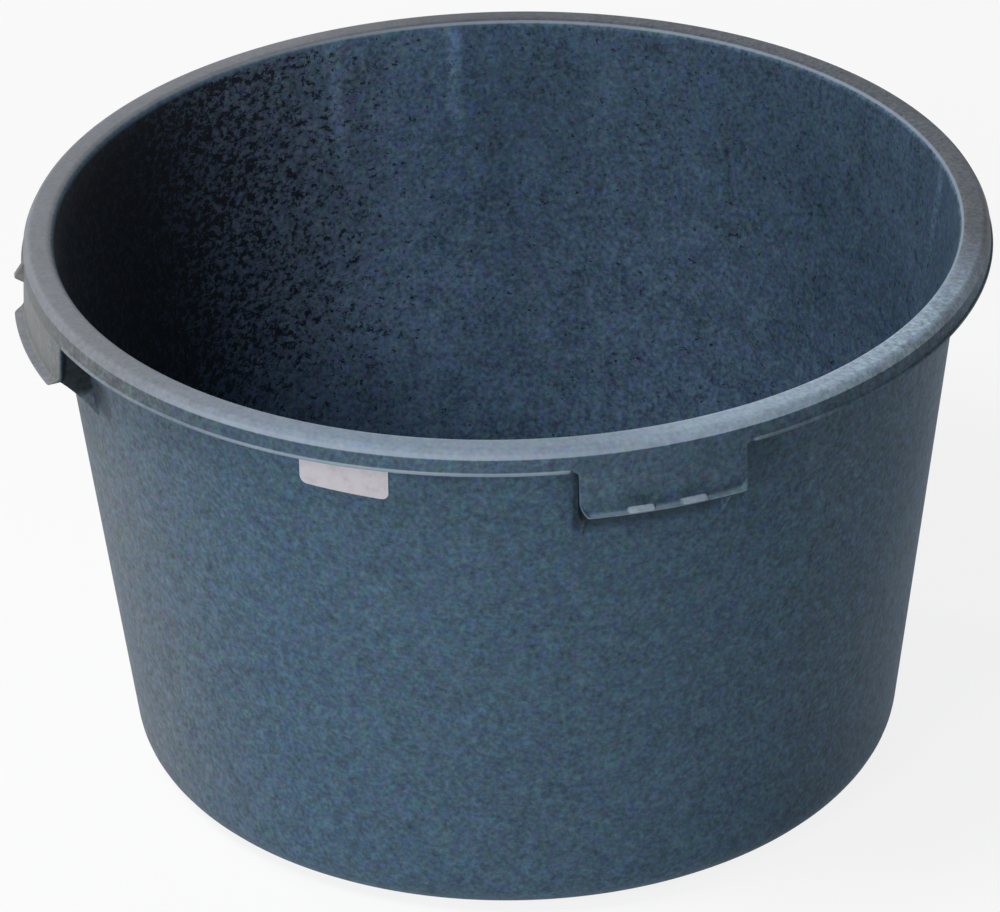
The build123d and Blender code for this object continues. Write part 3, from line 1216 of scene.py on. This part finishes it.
@dataclass
class HandGrip:
    """Gussets behind the apron of one grip and, at the front, the pads on its lip."""

    shape: TubShape
    finish: Finish
    side: Side
    gusset_turn: float = math.radians(9.22)
    gusset: float = 3.0 * MM
    gusset_depth: float = 80.0 * MM
    gusset_hollow: float = 0.25
    edge_rounding: float = 1.0 * MM
    bite: float = 1.2 * MM
    pad_height: float = 2.1 * MM
    pad_setback: float = 0.8 * MM
    pad_end: float = 3.0 * MM
    pad_nose: float = 0.4 * MM
    pad_ridge: float = 0.5 * MM
    pad_taper: float = 0.5
    pad_row: float = 0.4
    edge_steps: int = 14
    side_steps: int = 6

    @property
    def pad_floor(self) -> float:
        """Height of the top of the lip."""
        return self.shape.grip_bottom + self.shape.lip_depth

    def lower_edge(self) -> list[Vector]:
        """Draws the lower edge of a gusset, between its chord and an arc that leaves the wall along its slope.

        Returns:
            Points of distance from the axis and height, from the wall out to the apron.
        """
        size = self.shape
        foot_height = size.height - self.gusset_depth
        foot = Vector((size.wall_outer(foot_height) - self.bite / 2, foot_height))
        tip = Vector((size.skirt_face(self.pad_floor) - size.skirt + self.bite, self.pad_floor))
        rise = Vector((size.taper, 1.0)).normalized()
        out = Vector((rise.y, -rise.x))
        chord = tip - foot
        radius = chord.length_squared / (2 * chord.dot(out))
        centre = foot + out * radius
        swept = 2 * math.atan2(chord.dot(out), chord.dot(rise))
        points = []
        for step in range(self.edge_steps + 1):
            share = step / self.edge_steps
            angle = swept * share
            spot = centre - out * radius * math.cos(angle) + rise * radius * math.sin(angle)
            points.append(foot.lerp(tip, share).lerp(spot, self.gusset_hollow))
        return points

    def lay_gusset(self, skin: Skin, turn: float) -> None:
        """Lays one gusset.

        Args:
            skin: Skin that it is added to.
            turn: Turn of the gusset from the front, in radians.
        """
        size = self.shape
        sideways = Vector((math.cos(turn), math.sin(turn), 0.0))
        top = size.flange_under + self.bite / 2
        inner_top = Vector((size.wall_outer(top) - self.bite, top))
        outer_top = Vector((size.skirt_face(top) - size.skirt + self.bite, top))
        edge = self.lower_edge()
        rows = []
        half, rounding = self.gusset / 2, self.edge_rounding
        quarter = [math.radians(angle) for angle in (0, 30, 60, 90)]
        for index, low in enumerate(edge):
            high = inner_top.lerp(outer_top, index / (len(edge) - 1))
            span = (high - low).length
            side = [(half, 1 - step / self.side_steps) for step in range(self.side_steps)]
            corner = [(half - rounding * (1 - math.cos(a)), rounding * (1 - math.sin(a)) / span) for a in quarter]
            outline = side + corner
            outline += [(-off, share) for off, share in reversed(outline)]
            row = []
            for off, share in outline:
                spot = low.lerp(high, share)
                row.append(around(spot.x, turn, spot.y) + sideways * off)
            rows.append(row)
        skin.lay(rows, tube=True, ends=True)

    def lay_pad(self, skin: Skin, middle: float) -> None:
        """Lays one wedge-shaped pad on the lip.

        Args:
            skin: Skin that it is added to.
            middle: Place of the middle of the pad along the lip.
        """
        size = self.shape
        floor = self.pad_floor - self.bite / 2
        root = size.skirt_face(floor) - self.bite
        ridge = size.skirt_face(self.pad_floor) + self.pad_setback
        corners = [
            Corner(root, floor),
            Corner(size.lip_radius - self.pad_setback, floor),
            Corner(size.lip_radius - self.pad_setback, self.pad_floor + self.pad_nose, self.pad_nose),
            Corner(ridge, self.pad_floor + self.pad_height, self.pad_ridge),
            Corner(root, self.pad_floor + self.pad_height),
        ]
        points = section(corners, run=3 * MM, bend=math.radians(25))
        base = Vector((root, floor))
        half, rounding = size.pad_length / 2, self.pad_end
        eighths = [math.radians(angle) for angle in (90, 45, 0)]
        ends = [(half - rounding * (1 - math.sin(a)), self.pad_taper * (1 - math.cos(a))) for a in eighths]
        stations = ends + [(half * self.pad_row, 0.0)]
        stations += [(-place, shrink) for place, shrink in stations]
        rows = []
        for place, shrink in sorted(stations):
            turn = self.side.turn + (middle + place) / size.lip_radius
            shrunk = [point.lerp(base, shrink) for point in points]
            rows.append([around(point.x, turn, point.y) for point in shrunk])
        skin.lay(rows, tube=True, ends=True)

    def build(self) -> bpy.types.Object:
        """Builds and dresses the grip.

        Returns:
            The new object.
        """
        skin = Skin()
        for sign in (-1, 1):
            self.lay_gusset(skin, self.side.turn + sign * self.gusset_turn)
            if self.side is Side.FRONT:
                self.lay_pad(skin, sign * self.shape.pad_middle)
        return skin.piece(self.side.node, self.finish, (self.side.node,))


@dataclass
class Label:
    """Bare label, glued to the outer face of the wall under the bead."""

    shape: TubShape
    finish: Finish
    turn: float = math.radians(-37.9)
    width: float = 60.5 * MM
    height: float = 37.0 * MM
    depth: float = 49.5 * MM
    corner: float = 5.0 * MM
    tilt: float = math.radians(-2.9)
    thickness: float = 0.3 * MM
    glue: float = 0.2 * MM
    curl: float = 0.5 * MM
    curl_start: float = 0.7
    columns: int = 30
    rows: int = 20

    def sheet_point(self, across: float, up: float, lift: float) -> Vector:
        """Places a point of the sheet on the wall.

        Args:
            across: Place across the label, from its middle.
            up: Place up the label, from its middle.
            lift: Height above the wall.

        Returns:
            The point in the frame of the solids.
        """
        right = across * math.cos(self.tilt) - up * math.sin(self.tilt)
        height = self.shape.height - self.depth + self.height / 2
        height += across * math.sin(self.tilt) + up * math.cos(self.tilt)
        radius = self.shape.wall_outer(height)
        near_corner = ease(across / self.width - up / self.height - self.curl_start)
        return around(radius + lift + self.curl * near_corner, self.turn + right / radius, height)

    def build(self) -> bpy.types.Object:
        """Lays the two faces of the sheet with rounded corners and dresses them.

        Returns:
            The new object.
        """
        straight = self.height / 2 - self.corner
        angles = [math.radians(angle) for angle in (90, 75, 60, 45, 30, 15)]
        bottom = [-straight - self.corner * math.sin(a) for a in angles]
        ups = bottom + spread(-straight, straight, self.rows) + [straight] + [-up for up in reversed(bottom)]
        skin = Skin()
        rows = []
        for up in ups:
            past = max(abs(up) - straight, 0.0)
            half = self.width / 2 - self.corner + math.sqrt(max(self.corner**2 - past**2, 0.0))
            places = [half * (2 * step / self.columns - 1) for step in range(self.columns + 1)]
            front = [self.sheet_point(place, up, self.glue + self.thickness) for place in places]
            back = [self.sheet_point(place, up, self.glue) for place in reversed(places)]
            rows.append(front + back)
        skin.lay(rows, tube=True, ends=True)
        return skin.piece("label", self.finish, ("label",))


@dataclass(frozen=True)
class PaleFloor(Finish):
    """Pale studio floor that looks white and keeps a soft shadow."""

    name: str = "pale_floor"
    colour: Colour = (0.8, 0.8, 0.8)
    glow: float = 0.85

    def paint(self, sheet: NodeSheet) -> None:
        """Adds the dull floor and its white look to a sheet.

        Args:
            sheet: Sheet of nodes of the material.
        """
        dull = sheet.node("ShaderNodeBsdfDiffuse", sockets={"Color": (*self.colour, 1.0)})
        white = sheet.node("ShaderNodeEmission", sockets={"Color": (1.0, 1.0, 1.0, 1.0), "Strength": 1.0})
        share = seen_share(sheet) * self.glow
        sheet.finish(sheet.node("ShaderNodeMixShader", sockets={0: share, 1: dull, 2: white}))


def seen_share(sheet: NodeSheet) -> Signal:
    """Tells the rays that show the surroundings: seen, mirrored or through glass.

    Args:
        sheet: Sheet of nodes of the floor or the world.

    Returns:
        Share that is 1 for these rays and 0 for the rest.
    """
    path = sheet.node("ShaderNodeLightPath", output="Is Camera Ray")
    outputs = path.socket.node.outputs
    seen = path + Signal(sheet, outputs["Is Glossy Ray"]) + Signal(sheet, outputs["Is Transmission Ray"])
    return seen.fade(0.0, 1.0)


@dataclass(frozen=True)
class Lamp:
    """Soft round lamp, placed by the direction that it shines from, with its angles in degrees."""

    name: str
    turn: float
    rise: float
    power: float
    width: float
    distance: float = 4.0


@dataclass
class Studio:
    """Floor, lamps, surroundings and camera, with its angles in degrees."""

    shape: TubShape
    floor_size: float = 30.0
    floor_drop: float = 0.2 * MM
    ambient: float = 0.026
    photo_turn: float = 17.35
    lens: float = 214.96
    sensor: float = 36.0
    camera_distance: float = 4.028
    camera_rise: float = 27.157
    look_down: float = 29.467
    pan: float = -0.128
    roll: float = -1.354
    lamps: tuple[Lamp, ...] = (
        Lamp("high_lamp", turn=-60.0, rise=60.0, power=94.0, width=1.4),
        Lamp("key_lamp", turn=-30.0, rise=35.0, power=34.0, width=1.4),
        Lamp("low_lamp", turn=-30.0, rise=10.0, power=43.0, width=1.4),
        Lamp("edge_lamp", turn=-130.0, rise=20.0, power=42.0, width=0.6),
        Lamp("back_lamp", turn=180.0, rise=20.0, power=20.0, width=1.6),
        Lamp("right_lamp", turn=125.0, rise=3.0, power=26.0, width=0.5),
    )

    def floor(self) -> None:
        """Lays the floor."""
        half, level = self.floor_size / 2, -self.floor_drop
        data = bpy.data.meshes.new("studio_floor")
        corners = [(-half, -half, level), (half, -half, level), (half, half, level), (-half, half, level)]
        data.from_pydata(corners, [], [(0, 1, 2, 3)])
        data.materials.append(PaleFloor().material())
        made = bpy.data.objects.new("studio_floor", data)
        bpy.context.scene.collection.objects.link(made)

    def light(self) -> None:
        """Hangs the lamps, each turned to the middle of the tub."""
        target = Vector((0.0, 0.0, self.shape.height / 2))
        for lamp in self.lamps:
            turn, rise = math.radians(lamp.turn - self.photo_turn), math.radians(lamp.rise)
            towards = around(math.cos(rise), turn, math.sin(rise))
            data = bpy.data.lights.new(lamp.name, "AREA")
            data.shape = "DISK"
            data.size = lamp.width
            data.energy = lamp.power
            made = bpy.data.objects.new(lamp.name, data)
            made.location = target + towards * lamp.distance
            made.rotation_euler = towards.to_track_quat("Z", "Y").to_euler()
            bpy.context.scene.collection.objects.link(made)

    def surroundings(self) -> None:
        """Gives the world a faint grey light and a white look."""
        world = bpy.data.worlds.new("studio")
        bpy.context.scene.world = world
        world.use_nodes = True
        sheet = NodeSheet(world.node_tree)
        strength = self.ambient + (1.0 - self.ambient) * seen_share(sheet)
        shine = sheet.node("ShaderNodeBackground", sockets={"Color": (1.0, 1.0, 1.0, 1.0), "Strength": strength})
        sheet.node("ShaderNodeOutputWorld", sockets={"Surface": shine})

    def camera(self) -> None:
        """Places the camera at the photograph's viewing angle."""
        turn = math.radians(-self.photo_turn)
        rise, down = math.radians(self.camera_rise), math.radians(self.look_down)
        spot = around(self.camera_distance * math.cos(rise), turn, self.camera_distance * math.sin(rise))
        ahead = -around(math.cos(down), turn - math.radians(self.pan), math.sin(down))
        right = ahead.cross(UP).normalized()
        level = Matrix((right, right.cross(ahead), -ahead)).transposed().to_4x4()
        data = bpy.data.cameras.new("camera")
        data.sensor_width = self.sensor
        data.lens = self.lens
        made = bpy.data.objects.new("camera", data)
        made.matrix_world = (
            Matrix.Translation(spot + UP * self.shape.height) @ level @ Matrix.Rotation(math.radians(self.roll), 4, "Z")
        )
        bpy.context.scene.collection.objects.link(made)
        bpy.context.scene.camera = made

    def build(self) -> None:
        """Sets up the whole studio."""
        bpy.context.scene.view_settings.view_transform = "Standard"
        self.floor()
        self.light()
        self.surroundings()
        self.camera()


def main() -> None:
    """Builds the pieces of the tub and the studio in order."""
    logging.basicConfig(level=logging.INFO, format="%(name)s %(message)s")
    shape = TubShape()
    plastic = MouldedPolyethylene(shape)
    TubBody(shape, plastic).build()
    RimSkirt(shape, plastic).build()
    for side in Side:
        HandGrip(shape, plastic, side).build()
    Label(shape, LabelFilm()).build()
    Studio(shape).build()


if __name__ == "__main__":
    main()
